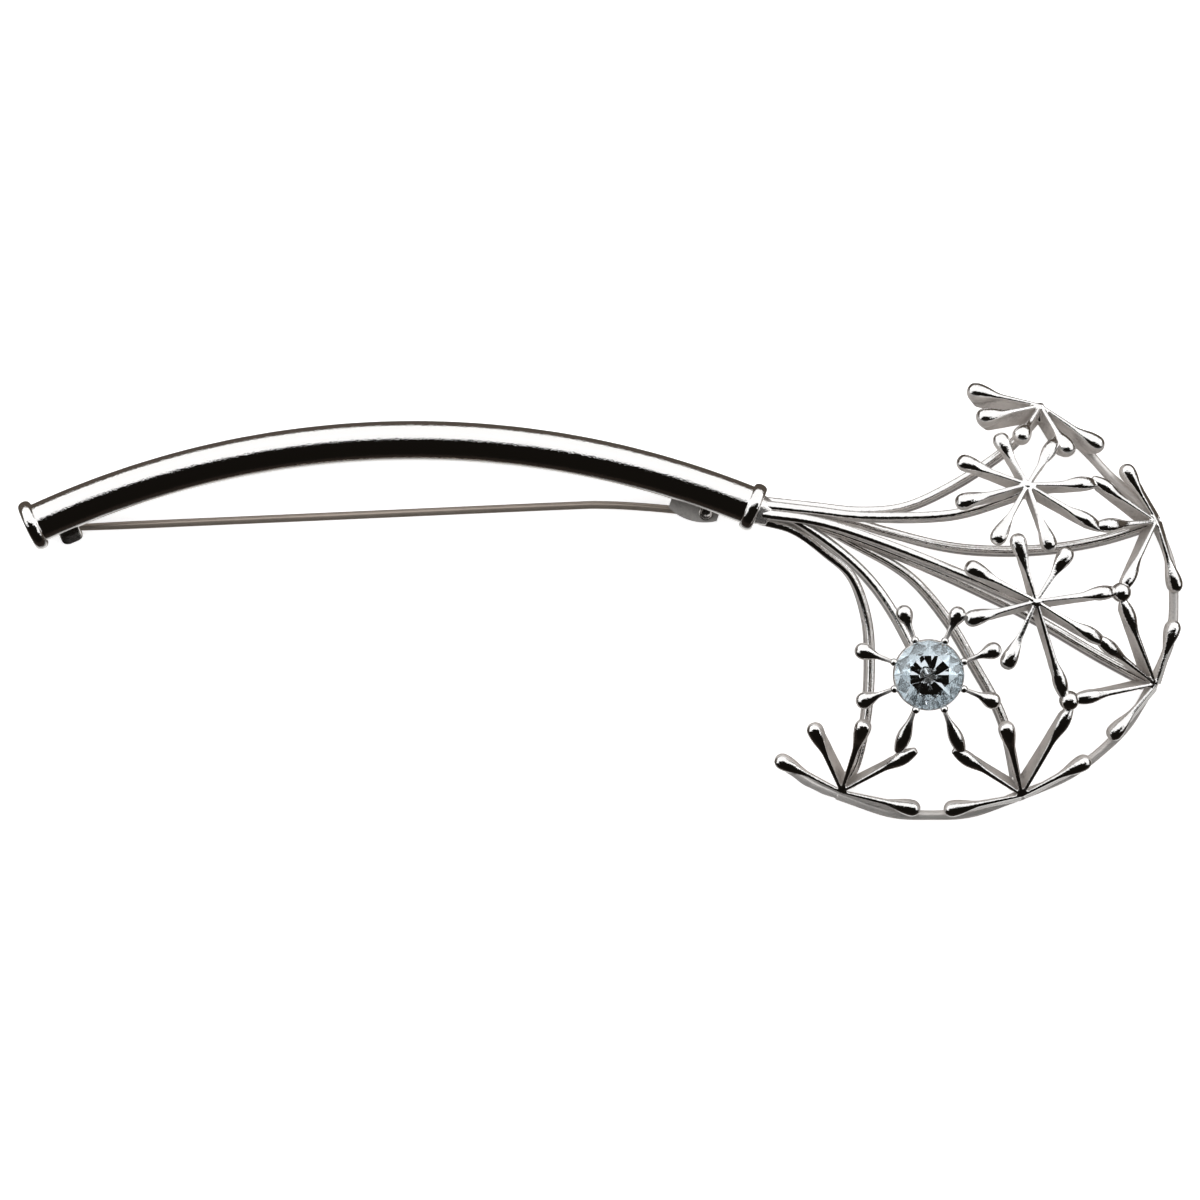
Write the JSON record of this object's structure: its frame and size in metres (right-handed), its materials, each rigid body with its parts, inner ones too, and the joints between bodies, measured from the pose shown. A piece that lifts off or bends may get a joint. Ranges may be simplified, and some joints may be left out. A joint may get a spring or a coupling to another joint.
{
  "type": "brooch",
  "caption": "Bar brooch: curved round tube with a hinged pin behind it, branching into a domed spray of drop-tipped stars set with a round stone.",
  "frame": {"origin": "under the middle of the whole brooch, on the surface that its back lies on", "axes": "+X along the stem from its free end to the flower head, +Y from the pin to the stem's bow, +Z out of the front"},
  "size_m": [0.1094, 0.0412, 0.0105],
  "materials": {
    "polished_silver": "polished by hand, faint waviness",
    "cast_silver": "polished ridges and drops, satin in the recesses",
    "satin_silver": "satin sheet",
    "pin_steel": "drawn wire, dull grey",
    "pale_blue_stone": "cut and polished facets"
  },
  "bodies": {
    "brooch": {"catch": "satin_silver", "floret_centre": "cast_silver", "floret_crown": "cast_silver", "floret_rim_base": "cast_silver", "floret_rim_left": "cast_silver", "floret_rim_low": "cast_silver", "floret_rim_right": "cast_silver", "floret_stone": "cast_silver", "floret_upper": "cast_silver", "hinge_bracket": "satin_silver", "hinge_rivet": "satin_silver", "neck_bead": "polished_silver", "neck_plug": "cast_silver", "rim_tail": "cast_silver", "rim_wire_base": "cast_silver", "rim_wire_crown": "cast_silver", "rim_wire_low": "cast_silver", "rim_wire_right": "cast_silver", "solder_ball_lower": "cast_silver", "solder_ball_upper": "cast_silver", "stalk_centre": "cast_silver", "stalk_crown": "cast_silver", "stalk_rim_base": "cast_silver", "stalk_rim_left": "cast_silver", "stalk_rim_low": "cast_silver", "stalk_rim_right": "cast_silver", "stalk_stone": "cast_silver", "stalk_upper": "cast_silver", "stem_tube": "polished_silver", "stone": "pale_blue_stone", "stone_claws": "cast_silver", "stone_collet": "cast_silver", "tail_bead": "polished_silver", "tail_cap": "polished_silver"},
    "pin": {"pin_eye": "pin_steel", "pin_wire": "pin_steel"}
  },
  "joints": [
    {"name": "pin_swing", "type": "hinge", "parent": "brooch", "child": "pin", "pos_m": [0.00995, 0.00815, 0.00088], "axis": [0, 0, 1], "range_deg": [0, 80]}
  ]
}
